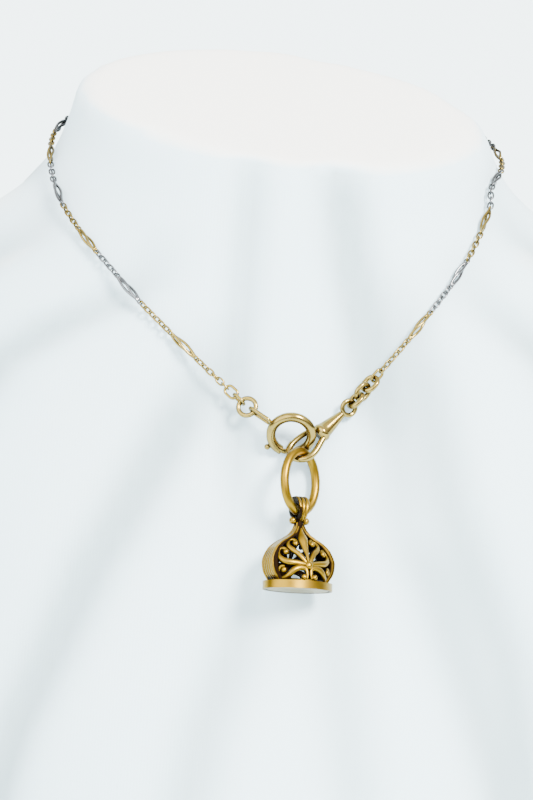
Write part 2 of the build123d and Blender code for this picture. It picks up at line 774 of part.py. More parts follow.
def bail():
    """A strap looped over the oval ring, wide at its crown and narrow at its foot."""
    foot = DOME_HEIGHT
    top = BAIL_HEIGHT - BAIL_CROWN
    hole_plane = Plane(origin=(-BAIL_WIDTH, 0, top - BAIL_HOLE / 2), x_dir=(0, 1, 0), z_dir=(1, 0, 0))
    hole_face = Face(Wire([Edge.make_ellipse(BAIL_DEPTH / 2 - BAIL_SIDE, BAIL_HOLE / 2, hole_plane)]))
    strap = bail_form(0).cut(Solid.extrude(hole_face, Vector(2 * BAIL_WIDTH, 0, 0))).solid()
    corners = [
        (-BAIL_FOOT_WIDTH / 2, -RIM_DEPTH, foot),
        (BAIL_FOOT_WIDTH / 2, -RIM_DEPTH, foot),
        (BAIL_WIDTH / 2, -RIM_DEPTH, top),
        (BAIL_WIDTH / 2, -RIM_DEPTH, BAIL_HEIGHT),
        (-BAIL_WIDTH / 2, -RIM_DEPTH, BAIL_HEIGHT),
        (-BAIL_WIDTH / 2, -RIM_DEPTH, top),
    ]
    front = Solid.extrude(Face(Wire.make_polygon(corners)), Vector(0, 2 * RIM_DEPTH, 0))
    strap = strap.intersect(front).solid()
    skin = bail_form(0).cut(bail_form(FLUTE_DEPTH)).solid()
    for sign in (1, -1):
        inner, outer = [sign * share for share in FLUTE_SHARES]
        flute = [
            (BAIL_FOOT_WIDTH * inner, -RIM_DEPTH, foot),
            (BAIL_FOOT_WIDTH * outer, -RIM_DEPTH, foot),
            (BAIL_WIDTH * outer, -RIM_DEPTH, BAIL_HEIGHT),
            (BAIL_WIDTH * inner, -RIM_DEPTH, BAIL_HEIGHT),
        ]
        groove = Solid.extrude(Face(Wire.make_polygon(flute)), Vector(0, 2 * RIM_DEPTH, 0))
        for part in groove.intersect(skin).solids():
            strap = strap.cut(part).solid()
    return strap


def neck_column():
    """The short stem between the dome's top and the bail."""
    hole_foot = BAIL_HEIGHT - BAIL_CROWN - BAIL_HOLE
    foot = DOME_HEIGHT - NECK_OVERLAP
    height = between(DOME_HEIGHT, hole_foot, 0.5) - foot
    return Solid.make_cylinder(NECK_WIDTH_OF_SEAL / 2, height, Plane(origin=(0, 0, foot)))


def seal_mount():
    pieces = pierced_dome() + [side_band(), neck_column(), bail()]
    for sign in (1, -1):
        spot = (sign * NECK_BALL_SPREAD / 2, 0, DOME_HEIGHT + NECK_BALL_RISE)
        pieces.append(Solid.make_sphere(NECK_BALL / 2, Plane(origin=spot)))
    whole = seal_rim()
    for piece in pieces:
        whole = whole.fuse(piece).solid()
    return whole


def seal_plane(chest):
    lean = math.radians(SEAL_LEAN)
    turn = math.radians(SEAL_TURN)
    up = mix(chest, (0, math.cos(lean), -math.sin(lean)))
    across = square_to(mix(chest, (math.cos(turn), 0, -math.sin(turn))), up)
    return Plane(origin=chest.from_local_coords(Vector(*SEAL_FOOT)), x_dir=across, z_dir=up)


# End pieces

def end_ring_plane(chest, shackle_foot):
    """Lying on the chest, the side towards the bolt ring raised."""
    middle = chest.from_local_coords(Vector(*END_RING_MIDDLE))
    level = square_to(shackle_foot - middle, chest.z_dir)
    tilt = math.radians(END_RING_TILT)
    raised = level * math.cos(tilt) + chest.z_dir * math.sin(tilt)
    return link_plane(middle, raised, chest.z_dir, 0)


def row_of_links(start, way, normal, rows):
    """Planes of links drawn out in a row, each from the last one's far end, and the row's end."""
    planes = []
    point = start
    for length, wire, play, roll in rows:
        pitch = 2 * reach_of(length, wire, play)
        planes.append(link_plane(point + way * (pitch / 2), way, normal, roll))
        point = point + way * pitch
    return planes, point


# Route and links of the chain

def surface_row(bust, degrees, drop):
    """A point lifted off the bust by half the chain, with the surface's normal there."""
    angle = math.radians(degrees)
    out = Vector(-math.sin(angle), -math.cos(angle), 0)
    start = Vector(0, ROUTE_AXIS_Y, BUST_HEIGHT - drop)
    hits = bust.find_intersection_points(Axis(start, out))
    point, normal = max(hits, key=lambda hit: (hit[0] - start).dot(out))
    if normal.dot(out) < 0:
        normal = normal * -1
    return point + normal * CHAIN_LIFT, normal


def curve(before, start, end, after, share):
    """A smooth way from start to end, led by the values before and after them."""
    leave = (end - before) * 0.5
    arrive = (after - start) * 0.5
    square = share * share
    cube = square * share
    leaving = start * (2 * cube - 3 * square + 1) + leave * (cube - 2 * square + share)
    return leaving + end * (3 * square - 2 * cube) + arrive * (cube - square)


def smooth_route(rows):
    route = []
    last = len(rows) - 1
    for index in range(last):
        corners = [rows[max(index - 1, 0)], rows[index], rows[index + 1], rows[min(index + 2, last)]]
        for step in range(ROUTE_STEPS):
            share = step / ROUTE_STEPS
            point = curve(*[corner[0] for corner in corners], share)
            normal = curve(*[corner[1] for corner in corners], share)
            route.append((point, normal.normalized()))
    route.append(rows[last])
    return route


def route_length(route):
    return sum((after[0] - before[0]).length for before, after in zip(route[:-1], route[1:]))


def walk(route, marks):
    """The points and normals at the given distances along the route."""
    found = []
    index = 0
    passed = 0
    for mark in marks:
        step = (route[index + 1][0] - route[index][0]).length
        while mark > passed + step and index < len(route) - 2:
            passed = passed + step
            index = index + 1
            step = (route[index + 1][0] - route[index][0]).length
        share = (mark - passed) / step
        point = between(route[index][0], route[index + 1][0], share)
        normal = between(route[index][1], route[index + 1][1], share)
        found.append((point, normal.normalized()))
    return found


def small_pitch():
    return 2 * reach_of(SMALL_LENGTH, SMALL_WIRE, LINK_PLAY)


def cage_pitch():
    return 2 * reach_of(CAGE_LENGTH, SMALL_WIRE, LINK_PLAY)


def runs_of_links(length):
    """Runs of small links, each with its metal, that fill the length with a cage link between runs."""
    gold = ("gold", GOLD_RUN)
    white = ("white", WHITE_RUN)
    ends = cage_pitch() + 2 * GOLD_RUN * small_pitch()
    turn = 2 * cage_pitch() + (GOLD_RUN + WHITE_RUN) * small_pitch()
    repeats = math.floor((length - ends) / turn)
    runs = [gold, gold] + [white, gold] * repeats
    spare = round((length - ends - repeats * turn) / small_pitch())
    middle = len(runs) // 2
    for index in range(spare):
        place = middle + index % 4 - 2
        runs[place] = (runs[place][0], runs[place][1] + 1)
    return runs


def link_row(runs):
    """Metal and kind of every link, from the left end to the right."""
    row = []
    for number, (metal, count) in enumerate(runs):
        if number > 0:
            row.append((metal, "cage"))
        row += [(metal, "small")] * count
    return row


def link_rolls(count):
    """Turn and turn about, eased at both ends to be square to the links they hang on."""
    rolls = [LINK_ROLL + 90 * (index % 2) for index in range(count)]
    first = END_LINK_ROLLS[-1] + 90 - rolls[0]
    last = (90 - MEDIUM_ROLL - rolls[-1] + 90) % 180 - 90
    for index in range(EASED_LINKS):
        ease = 1 - index / EASED_LINKS
        rolls[index] += first * ease
        rolls[-1 - index] += last * ease
    return rolls


def chains(route):
    length = route_length(route)
    row = link_row(runs_of_links(length))
    pitches = {"small": small_pitch(), "cage": cage_pitch()}
    stretch = length / sum(pitches[kind] for metal, kind in row)
    marks = [0]
    for metal, kind in row:
        marks.append(marks[-1] + pitches[kind] * stretch)
    joints = walk(route, marks)
    patterns = {"small": small_link(), "cage": cage_link()}
    links = {"gold": [], "white": []}
    for (metal, kind), roll, start, end in zip(row, link_rolls(len(row)), joints[:-1], joints[1:]):
        along = (end[0] - start[0]).normalized()
        normal = (start[1] + end[1]).normalized()
        plane = link_plane((start[0] + end[0]) * 0.5, along, normal, roll)
        links[metal].append(put(patterns[kind], plane))
    return links


# The whole piece

os.makedirs("parts", exist_ok=True)
bust = neck_bust()
chest = chest_plane(bust)

ring = ring_plane(chest)
shackle_foot = ring.from_local_coords(ring_point(SHACKLE_ANGLE, ring_radius()))
end_ring_at = end_ring_plane(chest, shackle_foot)
clip = clip_plane(chest)
eye = eye_plane(chest, clip)

surface_rows = [surface_row(bust, degrees, drop) for degrees, drop in CHAIN_ROUTE]

left_way = (surface_rows[0][0] - end_ring_at.origin).normalized()
left_edge = square_to(left_way, end_ring_at.z_dir)
left_start = end_ring_at.origin + left_edge * reach_of(END_RING_WIDTH, END_RING_WIRE, END_LINK_PLAY)
left_rows = [(END_LINK_LENGTH, END_LINK_WIRE, END_LINK_PLAY, roll) for roll in END_LINK_ROLLS]
left_planes, chain_start = row_of_links(left_start, left_way, surface_rows[0][1], left_rows)

eye_seat = eye.origin + chest.z_dir * BIG_LINK_RAISE
right_way = (surface_rows[-1][0] - eye_seat).normalized()
right_start = eye_seat + right_way * reach_of(EYE_WIDTH, EYE_WIRE, BIG_LINK_PLAY)
right_rows = [(BIG_LINK_LENGTH, BIG_LINK_WIRE, BIG_LINK_PLAY, roll) for roll in BIG_LINK_ROLLS]
right_rows.append((MEDIUM_LENGTH, MEDIUM_WIRE, END_LINK_PLAY, MEDIUM_ROLL))
right_planes, chain_end = row_of_links(right_start, right_way, surface_rows[-1][1], right_rows)

route = smooth_route(
    [(chain_start, surface_rows[0][1])] + surface_rows + [(chain_end, surface_rows[-1][1])])
links = chains(route)

export_step(bust, "parts/neck_bust.step")
export_step(Compound(children=links["gold"]), "parts/chain_gold.step")
export_step(Compound(children=links["white"]), "parts/chain_white.step")
export_step(put(round_ring(END_RING_WIDTH, END_RING_WIRE), end_ring_at), "parts/end_ring.step")
for number, plane in enumerate(left_planes, 1):
    end_link = put(oval_link(END_LINK_LENGTH, END_LINK_WIDTH, END_LINK_WIRE), plane)
    export_step(end_link, f"parts/end_link_{number}.step")
export_step(put(bolt_ring(ring.to_local_coords(end_ring_at.origin)), ring), "parts/bolt_ring.step")
export_step(put(bolt_trigger(), ring), "parts/bolt_trigger.step")
export_step(put(swivel_eye(), eye), "parts/swivel_eye.step")
export_step(put(swivel_hook(), clip), "parts/swivel_hook.step")
export_step(put(swivel_gate(), clip), "parts/swivel_gate.step")
for number, plane in enumerate(right_planes[:-1], 1):
    big_link = put(oval_link(BIG_LINK_LENGTH, BIG_LINK_WIDTH, BIG_LINK_WIRE), plane)
    export_step(big_link, f"parts/big_link_{number}.step")
medium_link = put(oval_link(MEDIUM_LENGTH, MEDIUM_WIDTH, MEDIUM_WIRE), right_planes[-1])
export_step(medium_link, "parts/medium_link.step")
export_step(put(oval_ring(), oval_plane(chest)), "parts/oval_ring.step")
seal = seal_plane(chest)
export_step(put(seal_mount(), seal), "parts/seal_mount.step")
export_step(put(seal_face(), seal), "parts/seal_face.step")
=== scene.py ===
import functools
import math

import bmesh
import bpy
import numpy
from mathutils import Matrix, Vector
from mathutils.bvhtree import BVHTree


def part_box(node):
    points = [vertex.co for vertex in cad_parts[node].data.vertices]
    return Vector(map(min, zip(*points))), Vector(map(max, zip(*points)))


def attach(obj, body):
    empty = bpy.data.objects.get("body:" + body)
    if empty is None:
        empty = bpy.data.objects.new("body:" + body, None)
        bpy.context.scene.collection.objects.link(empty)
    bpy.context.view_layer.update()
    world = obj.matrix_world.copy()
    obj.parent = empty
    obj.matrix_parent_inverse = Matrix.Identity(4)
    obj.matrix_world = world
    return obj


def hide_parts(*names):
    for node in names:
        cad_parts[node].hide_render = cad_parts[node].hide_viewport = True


bl_info = {
    "name": "Watch chain and seal fob on a neck bust",
    "version": (1, 0, 0),
    "blender": (4, 5, 0),
    "location": "3D View > Sidebar > Seal fob",
    "description": "Dresses the packed bust, chain, clasps and pierced seal fob",
    "category": "Object",
}

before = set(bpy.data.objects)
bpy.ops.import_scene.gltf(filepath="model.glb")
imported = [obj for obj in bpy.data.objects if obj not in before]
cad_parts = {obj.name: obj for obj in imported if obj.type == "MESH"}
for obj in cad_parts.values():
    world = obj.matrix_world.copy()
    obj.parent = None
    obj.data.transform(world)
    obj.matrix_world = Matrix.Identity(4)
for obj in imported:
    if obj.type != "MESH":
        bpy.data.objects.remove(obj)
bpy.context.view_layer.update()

MM = 0.001

# The neck's axis stands behind the middle of the base. A fold this deep has the cloth's full shade.
NECK_AXIS_Y = -0.008
DEEP_FOLD = 0.0035

# How far a valley takes to run out past its two ends, in millimetres
VALLEY_EASE = 14

# Cloth above this height may sink, and only where it isn't nearly level
LOWEST_FOLD = 0.004
LEVEL_CLOTH = 0.93

# Valleys of the cloth: the line that each one follows as degrees round from the front and height in
# millimetres, then its depth and its half-width in millimetres
VALLEYS = [
    ([(-9, 224), (-7, 196), (-6, 172), (-3, 140)], 1.7, 5.0),
    ([(23, 224), (22, 196), (23, 172), (25, 150)], 2.6, 7.0),
    ([(-31, 190), (-36, 184), (-45, 176), (-53, 164), (-60, 120), (-64, 40)], 2.2, 8.0),
    ([(-12, 172), (-16, 160), (-20, 145), (-25, 122), (-30, 80), (-34, 10)], 2.6, 8.0),
    ([(0, 122), (-2, 108), (-5, 90), (-8, 50), (-9, 5)], 1.8, 8.0),
    ([(32, 184), (33, 165), (33, 140), (38, 100), (42, 10)], 2.0, 8.0),
    ([(24, 140), (28, 122), (31, 98), (34, 70), (36, 10)], 2.0, 9.0),
    ([(10, 134), (12, 118), (13, 96), (14, 70), (15, 5)], 1.4, 8.0),
    ([(52, 186), (60, 170), (66, 130), (70, 20)], 2.4, 9.0),
    ([(-66, 192), (-76, 176), (-84, 130), (-88, 20)], 2.4, 10.0),
    ([(76, 196), (84, 178), (92, 130), (96, 20)], 2.6, 10.0),
    ([(-96, 198), (-104, 176), (-112, 120), (-116, 20)], 2.4, 11.0),
    ([(104, 200), (112, 176), (120, 120), (122, 20)], 2.2, 11.0),
    ([(128, 204), (136, 170), (140, 110), (142, 20)], 2.4, 11.0),
    ([(-124, 204), (-132, 170), (-138, 110), (-140, 20)], 2.2, 11.0),
    ([(152, 206), (158, 170), (160, 110), (162, 20)], 2.0, 11.0),
    ([(-152, 206), (-158, 170), (-164, 110), (-168, 20)], 2.4, 11.0),
    ([(178, 206), (178, 170), (180, 110), (180, 20)], 2.0, 10.0),
]

# Seal, in millimetres in its own frame: X across, Z up its axis from its foot, its front to -Y
PLATE_RISE = 0.55
DOME_WIDTH = 17.7
DOME_HEIGHT = 17.4
DOME_DEPTH = 12.4
DOME_INSET = 0.2
BAND_DEPTH = 6.2
BAND_WALL = 1.15
RIM_HEIGHT = 2.1

# Height as a share of the dome's height, then half-width, half-depth of the dome and half-depth of
# the side band as shares of half the widths and depths above
SEAL_SECTIONS = [
    (0.120, 0.780, 1.000, 1.000),
    (0.247, 0.938, 0.960, 1.000),
    (0.368, 1.000, 0.870, 0.980),
    (0.460, 0.989, 0.770, 0.930),
    (0.603, 0.853, 0.565, 0.830),
    (0.695, 0.650, 0.420, 0.740),
    (0.782, 0.373, 0.290, 0.600),
    (0.839, 0.237, 0.210, 0.490),
    (0.920, 0.147, 0.160, 0.350),
    (1.000, 0.107, 0.137, 0.240),
]

# Palmette strokes on the right, across and up as shares of half the dome's width and of its height,
# and the width of each stroke along its line in millimetres
STROKES = [
    ([(0.05, 0.385), (0.141, 0.448), (0.260, 0.529), (0.407, 0.586), (0.492, 0.649), (0.441, 0.716),
      (0.316, 0.745), (0.220, 0.715), (0.196, 0.672)], [0.9, 1.3, 1.45, 1.4, 1.2, 1.05, 0.95, 0.8, 0.55]),
    ([(0.06, 0.36), (0.350, 0.382), (0.559, 0.388), (0.723, 0.420), (0.802, 0.483), (0.780, 0.552),
      (0.700, 0.598), (0.600, 0.590), (0.535, 0.552)], [1.1, 1.4, 1.65, 1.55, 1.25, 1.05, 0.95, 0.8, 0.55]),
    ([(0.075, 0.148), (0.062, 0.215), (0.090, 0.290), (0.220, 0.312), (0.412, 0.284), (0.542, 0.216),
      (0.650, 0.158), (0.746, 0.155), (0.802, 0.207), (0.819, 0.273), (0.765, 0.318), (0.690, 0.322)],
     [0.5, 0.8, 1.05, 1.4, 1.65, 1.5, 1.25, 1.1, 1.0, 0.9, 0.8, 0.55]),
]

# Beads in the curls: across and up as above, and width
CURL_BALLS = [(0.271, 0.675, 1.5), (0.605, 0.537, 1.55), (0.700, 0.268, 1.45), (0.170, 0.168, 1.5)]

# Middle leaf and boss: height as a share of the dome's height, and width
LEAF_LINE = [(0.38, 0.5), (0.46, 0.9), (0.55, 1.35), (0.64, 2.0), (0.735, 2.75), (0.79, 2.3),
             (0.85, 1.4), (0.92, 0.3)]
BOSS = (0.345, 2.1)

# Ridges of the side band as shares of its half-depth, and the height it starts at
BAND_FOOT = 0.118
BAND_STEPS = 40
BAND_RIDGES = (-0.86, -0.52, -0.17, 0.17, 0.52, 0.86)

# Bail: heights of its foot and top, depth, thickness of its crown, widths at its foot and crown
BAIL_FOOT = 17.4
BAIL_TOP = 24.3
BAIL_DEPTH = 5.9
BAIL_CROWN = 1.7
BAIL_WIDTHS = (1.5, 3.5)
BAIL_STEPS = 48

# Neck: stem as heights and half-widths, and the beads' reach, height and width
NECK_STEM = [(15.2, 0.5), (16.4, 0.75), (17.6, 0.95), (18.4, 0.7), (19.0, 0.45)]
NECK_BALLS = (1.9, 18.0, 1.95)

# The cast core lies this far under the raised work on it
CORE_INSET = 0.07

# Painted shade on a surface that faces along the bust, and how fast it fades toward the viewer
SIDE_SHADE = 0.5
SHADE_FADE = 0.8

# Suns: where each stands, its softness in degrees, strength and colour
SUNS = [
    ("Key", (0.6, -0.55, 1.0), 18, 12.0, (1.0, 0.99, 0.97)),
    ("Fill", (-0.8, -1.0, 0.9), 60, 5.0, (0.92, 0.97, 1.0)),
]
WINDOW_PLACE = (0.35, -0.5, 0.75)
WINDOW_SIZE = 0.25
WINDOW_POWER = 3.0

# Room: colour below and above, and the heights between which it turns from one to the other
ROOM_LOW = (0.54, (0.05, 0.035, 0.025, 1))
ROOM_HIGH = (0.86, (0.95, 0.99, 1.0, 1))
ROOM_STRENGTH = 2.6
FLOOR_SIZE = 4
FLOOR_COLOUR = (0.84, 0.97, 1.0, 1)

# Camera: what it looks at, its angle above level, turn about its own line of sight, distance and
# upright field of view
CAMERA_TARGET = (0.0012, -0.083, 0.165)
CAMERA_RISE = 24
CAMERA_ROLL = 3.5
CAMERA_DISTANCE = 0.555
CAMERA_VIEW = 21.4


class FobSizes(bpy.types.PropertyGroup):
    """Sizes that a user would change"""
    cloth_mesh: bpy.props.FloatProperty(
        name="Cloth mesh", description="Spacing of the cloth's mesh", default=0.0036, unit="LENGTH")
    fold_strength: bpy.props.FloatProperty(
        name="Fold strength", description="Share of each valley's depth", default=1.5, subtype="FACTOR")
    wire_fullness: bpy.props.FloatProperty(
        name="Wire fullness", description="How far the links' wire is filled out before it is rounded",
        default=0.00008, unit="LENGTH")
    clasp_fullness: bpy.props.FloatProperty(
        name="Clasp fullness", description="How far the clasps and stout links are filled out",
        default=0.00006, unit="LENGTH")


class FobColours(bpy.types.PropertyGroup):
    """Colours that a user would change"""
    chain_gold: bpy.props.FloatVectorProperty(
        name="Chain gold", description="Pale yellow gold of the chain and clasps", subtype="COLOR",
        default=(0.27, 0.19, 0.048))
    white_metal: bpy.props.FloatVectorProperty(
        name="White metal", description="Silver-grey metal of the white links", subtype="COLOR",
        default=(0.16, 0.16, 0.163))
    fob_gold: bpy.props.FloatVectorProperty(
        name="Fob gold", description="Richer gold of the seal and its ring", subtype="COLOR",
        default=(0.24, 0.138, 0.008))
    # Dark colour of the fob's tarnish patches, also used as its painted shade
    patina_and_shade: bpy.props.FloatVectorProperty(
        name="Patina", description="Dark tarnish in the recesses", subtype="COLOR",
        default=(0.010, 0.005, 0.002))
    cloth: bpy.props.FloatVectorProperty(
        name="Cloth", description="Plain cloth of the bust", subtype="COLOR",
        default=(0.60, 0.80, 0.88))


def sizes():
    return bpy.context.scene.fob_sizes


def colours():
    return bpy.context.scene.fob_colours


# Node groups and materials

def new_group(name, inputs, outputs):
    group = bpy.data.node_groups.new(name, "ShaderNodeTree")
    for label, kind, value in inputs:
        socket = group.interface.new_socket(label, in_out="INPUT", socket_type=kind)
        if value is not None:
            socket.default_value = value
    for label, kind in outputs:
        group.interface.new_socket(label, in_out="OUTPUT", socket_type=kind)
    return group, group.nodes.new("NodeGroupInput"), group.nodes.new("NodeGroupOutput")


def worn_and_shaded_metal_group():
    """Fine scratches and soft tarnish over a metal, and painted shade in the tarnish colour where the
    piece's shade attribute says.
    """
    name = "Worn metal and painted shade"
    if name in bpy.data.node_groups:
        return bpy.data.node_groups[name]
    group, given, result = new_group(
        name,
        [("Metal", "NodeSocketColor", (0.7, 0.5, 0.2, 1)),
         # The second colour serves both the tarnish patches and the painted shade; the last input gives the
         # painted shade
         ("Tarnish And Shade", "NodeSocketColor", (0.1, 0.06, 0.03, 1)),
         ("Patch Size", "NodeSocketFloat", 600.0), ("Tarnish Share", "NodeSocketFloat", 0.3),
         ("Smoothness", "NodeSocketFloat", 0.2), ("Painted Shade", "NodeSocketFloat", 0.0)],
        [("Colour", "NodeSocketColor"), ("Roughness", "NodeSocketFloat"), ("Normal", "NodeSocketVector")])
    nodes, links = group.nodes, group.links
    place = nodes.new("ShaderNodeTexCoord")
    patches = nodes.new("ShaderNodeTexNoise")
    patches.inputs["Detail"].default_value = 4
    links.new(place.outputs["Object"], patches.inputs["Vector"])
    links.new(given.outputs["Patch Size"], patches.inputs["Scale"])
    spread = nodes.new("ShaderNodeMapRange")
    spread.inputs["From Min"].default_value = 0.42
    spread.inputs["From Max"].default_value = 0.75
    links.new(patches.outputs["Fac"], spread.inputs["Value"])
    share = nodes.new("ShaderNodeMath")
    share.operation = "MULTIPLY"
    links.new(spread.outputs["Result"], share.inputs[0])
    links.new(given.outputs["Tarnish Share"], share.inputs[1])
    # Painted shade is added to the share of tarnish
    both = nodes.new("ShaderNodeMath")
    both.operation = "ADD"
    both.use_clamp = True
    links.new(share.outputs[0], both.inputs[0])
    links.new(given.outputs["Painted Shade"], both.inputs[1])
    tint = nodes.new("ShaderNodeMix")
    tint.data_type = "RGBA"
    links.new(both.outputs[0], tint.inputs["Factor"])
    links.new(given.outputs["Metal"], tint.inputs["A"])
    links.new(given.outputs["Tarnish And Shade"], tint.inputs["B"])
    links.new(tint.outputs["Result"], result.inputs["Colour"])
    scratches = nodes.new("ShaderNodeTexNoise")
    scratches.inputs["Scale"].default_value = 2600
    scratches.inputs["Detail"].default_value = 3
    links.new(place.outputs["Object"], scratches.inputs["Vector"])
    rough = nodes.new("ShaderNodeMapRange")
    rough.inputs["To Min"].default_value = 0.0
    rough.inputs["To Max"].default_value = 0.14
    links.new(scratches.outputs["Fac"], rough.inputs["Value"])
    soft = nodes.new("ShaderNodeMath")
    soft.operation = "MULTIPLY_ADD"
    soft.inputs[1].default_value = 0.3
    links.new(both.outputs[0], soft.inputs[0])
    links.new(rough.outputs["Result"], soft.inputs[2])
    total = nodes.new("ShaderNodeMath")
    total.operation = "ADD"
    links.new(soft.outputs[0], total.inputs[0])
    links.new(given.outputs["Smoothness"], total.inputs[1])
    links.new(total.outputs[0], result.inputs["Roughness"])
    bump = nodes.new("ShaderNodeBump")
    bump.inputs["Strength"].default_value = 0.12
    bump.inputs["Distance"].default_value = 0.00005
    links.new(scratches.outputs["Fac"], bump.inputs["Height"])
    links.new(bump.outputs["Normal"], result.inputs["Normal"])
    return group


def metal(name, colour, tarnish_and_shade, patch_size, tarnish_share, smoothness, recess=False):
    if name in bpy.data.materials:
        return bpy.data.materials[name]
    material = bpy.data.materials.new(name)
    material.use_nodes = True
    nodes, links = material.node_tree.nodes, material.node_tree.links
    shader = nodes["Principled BSDF"]
    shader.inputs["Metallic"].default_value = 1.0
    wear = nodes.new("ShaderNodeGroup")
    wear.node_tree = worn_and_shaded_metal_group()
    wear.inputs["Metal"].default_value = (*colour, 1)
    wear.inputs["Tarnish And Shade"].default_value = (*tarnish_and_shade, 1)
    wear.inputs["Patch Size"].default_value = patch_size
    wear.inputs["Tarnish Share"].default_value = tarnish_share
    wear.inputs["Smoothness"].default_value = smoothness
    # Painted shade, read from the mesh's shade attribute
    if recess:
        shade_mark = nodes.new("ShaderNodeAttribute")
        shade_mark.attribute_name = "recess"
        links.new(shade_mark.outputs["Fac"], wear.inputs["Painted Shade"])
    links.new(wear.outputs["Colour"], shader.inputs["Base Color"])
    links.new(wear.outputs["Roughness"], shader.inputs["Roughness"])
    links.new(wear.outputs["Normal"], shader.inputs["Normal"])
    return material


# Each metal's second colour is both its tarnish and its painted shade
def chain_gold():
    return metal("Pale chain gold", colours().chain_gold, (0.016, 0.009, 0.003), 420, 0.3, 0.10,
                 recess=True)


def white_metal():
    return metal("White metal", colours().white_metal, (0.012, 0.011, 0.010), 420, 0.3, 0.12, recess=True)


def fob_gold():
    return metal("Fob gold", colours().fob_gold, colours().patina_and_shade, 300, 0.25, 0.24, recess=True)


def plate_gold():
    return metal("Seal plate", (0.22, 0.16, 0.06), (0.10, 0.06, 0.025), 200, 0.3, 0.3)


def cloth():
    """Matt jersey, cool at the front, painted paler and warmer where it faces up as if lit from above, and
    painted darker in its valleys as shade.
    """
    name = "Bust jersey"
    if name in bpy.data.materials:
        return bpy.data.materials[name]
    material = bpy.data.materials.new(name)
    material.use_nodes = True
    nodes, links = material.node_tree.nodes, material.node_tree.links
    shader = nodes["Principled BSDF"]
    shader.inputs["Roughness"].default_value = 0.9
    shader.inputs["Sheen Weight"].default_value = 0.25
    shader.inputs["Sheen Roughness"].default_value = 0.5
    place = nodes.new("ShaderNodeTexCoord")
    blotch = nodes.new("ShaderNodeTexNoise")
    blotch.inputs["Scale"].default_value = 14
    blotch.inputs["Detail"].default_value = 3
    links.new(place.outputs["Object"], blotch.inputs["Vector"])
    tint = nodes.new("ShaderNodeMix")
    tint.data_type = "RGBA"
    tint.inputs["A"].default_value = (*colours().cloth, 1)
    tint.inputs["B"].default_value = (0.70, 0.83, 0.87, 1)
    links.new(blotch.outputs["Fac"], tint.inputs["Factor"])
    # Painted light: the colour turns paler and warmer where the surface faces up
    facing = nodes.new("ShaderNodeSeparateXYZ")
    surface = nodes.new("ShaderNodeNewGeometry")
    links.new(surface.outputs["Normal"], facing.inputs["Vector"])
    up = nodes.new("ShaderNodeMapRange")
    up.inputs["From Min"].default_value = 0.75
    up.inputs["From Max"].default_value = 1.0
    links.new(facing.outputs["Z"], up.inputs["Value"])
    painted_top_light = nodes.new("ShaderNodeMix")
    painted_top_light.data_type = "RGBA"
    painted_top_light.inputs["B"].default_value = (0.95, 0.93, 0.86, 1)
    links.new(up.outputs["Result"], painted_top_light.inputs["Factor"])
    # Painted shade: the colour darkens with the depth each valley sank
    fold_shade = nodes.new("ShaderNodeAttribute")
    fold_shade.attribute_name = "fold_shade"
    soft = nodes.new("ShaderNodeMath")
    soft.operation = "MULTIPLY"
    soft.inputs[1].default_value = 0.6
    links.new(fold_shade.outputs["Fac"], soft.inputs[0])
    deep = nodes.new("ShaderNodeMix")
    deep.data_type = "RGBA"
    deep.inputs["B"].default_value = (0.16, 0.23, 0.24, 1)
    links.new(soft.outputs[0], deep.inputs["Factor"])
    links.new(tint.outputs["Result"], deep.inputs["A"])
    links.new(deep.outputs["Result"], painted_top_light.inputs["A"])
    links.new(painted_top_light.outputs["Result"], shader.inputs["Base Color"])
    knit = nodes.new("ShaderNodeTexWave")
    knit.inputs["Scale"].default_value = 380
    knit.inputs["Distortion"].default_value = 2.0
    knit.inputs["Detail"].default_value = 2
    links.new(place.outputs["Object"], knit.inputs["Vector"])
    fibre = nodes.new("ShaderNodeTexNoise")
    fibre.inputs["Scale"].default_value = 1500
    links.new(place.outputs["Object"], fibre.inputs["Vector"])
    height = nodes.new("ShaderNodeMath")
    height.operation = "ADD"
    links.new(knit.outputs["Fac"], height.inputs[0])
    links.new(fibre.outputs["Fac"], height.inputs[1])
    bump = nodes.new("ShaderNodeBump")
    bump.inputs["Strength"].default_value = 0.1
    bump.inputs["Distance"].default_value = 0.0002
    links.new(height.outputs[0], bump.inputs["Height"])
    links.new(bump.outputs["Normal"], shader.inputs["Normal"])
    return material


# Pieces

def node_copy(*names):
    """The CAD nodes as one bmesh, their loose triangles merged."""
    bm = bmesh.new()
    for name in names:
        bm.from_mesh(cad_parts[name].data)
    bmesh.ops.remove_doubles(bm, verts=bm.verts, dist=0.000002)
    return bm


def add_piece(name, bm, material, body, nodes, crease=40):
    """A finished mesh object at the origin that rides on a body and stands for CAD nodes."""
    limit = math.radians(crease)
    for face in bm.faces:
        face.smooth = True
    for edge in bm.edges:
        edge.smooth = not (len(edge.link_faces) == 2 and edge.calc_face_angle(0) > limit)
    mesh = bpy.data.meshes.new(name)
    bm.to_mesh(mesh)
    bm.free()
    mesh.materials.append(material)
    piece = bpy.data.objects.new(name, mesh)
    bpy.context.collection.objects.link(piece)
    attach(piece, body)
    if nodes:
        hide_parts(*nodes)
    return piece


def filled_and_shaded(bm, fullness=0.0):
    """Fills the shape out a little and paints shade on what faces the bust."""
    bm.normal_update()
    recess = bm.verts.layers.float.get("recess") or bm.verts.layers.float.new("recess")
    surface = bust_surface()
    shifts = []
    for vert in bm.verts:
        outward = surface.find_nearest(vert.co)[1]
        # Painted shade: full where the surface faces into the bust, fading out as it turns toward the
        # viewer
        vert[recess] = min(1, max(0, SIDE_SHADE - SHADE_FADE * vert.normal.dot(outward)))
        shifts.append((vert, vert.normal * fullness))
    for vert, shift in shifts:
        vert.co += shift
    return bm


@functools.cache
def bust_surface():
    """The bust's surface, for finding which way is outward near it."""
    bust = node_copy("neck_bust")
    bust.normal_update()
    surface = BVHTree.FromBMesh(bust)
    bust.free()
    return surface


